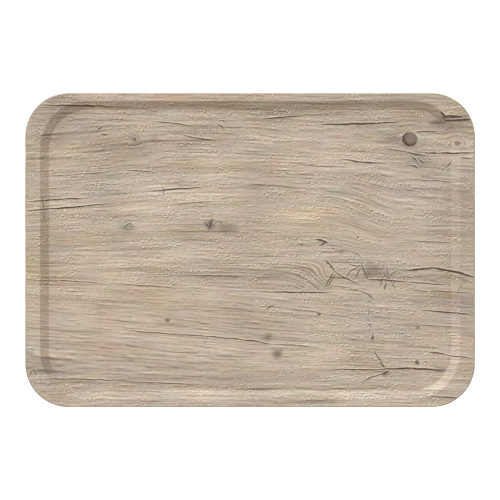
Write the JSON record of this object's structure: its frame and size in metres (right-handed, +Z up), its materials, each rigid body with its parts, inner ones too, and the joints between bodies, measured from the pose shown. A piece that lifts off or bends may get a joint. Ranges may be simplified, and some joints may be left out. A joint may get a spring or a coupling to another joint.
{
  "type": "serving tray",
  "caption": "Rectangular pressed-laminate serving tray with a printed wood surface, sloping wall and flat rim that is wider at the ends.",
  "frame": {"origin": "centre of the underside, on the surface the tray stands on", "axes": "+X along the tray's long side, +Y along its short side, +Z up"},
  "size_m": [0.53, 0.37, 0.0163],
  "materials": {
    "clear_resin_top": "clear melamine resin, silky",
    "wood_print": "resin-soaked paper printed as weathered wood",
    "veneer_along": "pressed veneer, grain along the tray",
    "veneer_across": "pressed veneer, grain across the tray",
    "balancing_paper": "resin-soaked paper, plain",
    "clear_resin_under": "clear melamine resin, silky",
    "edge_lacquer": "brown sealing lacquer, satin"
  },
  "bodies": {
    "root": {"clear_overlay": "clear_resin_top", "wood_decor_sheet": "wood_print", "veneer_1": "veneer_along", "veneer_2": "veneer_across", "veneer_3": "veneer_along", "veneer_4": "veneer_across", "veneer_5": "veneer_along", "veneer_6": "veneer_across", "veneer_7": "veneer_along", "balancing_sheet": "balancing_paper", "clear_underlay": "clear_resin_under", "edge_seal": "edge_lacquer"}
  },
  "joints": []
}
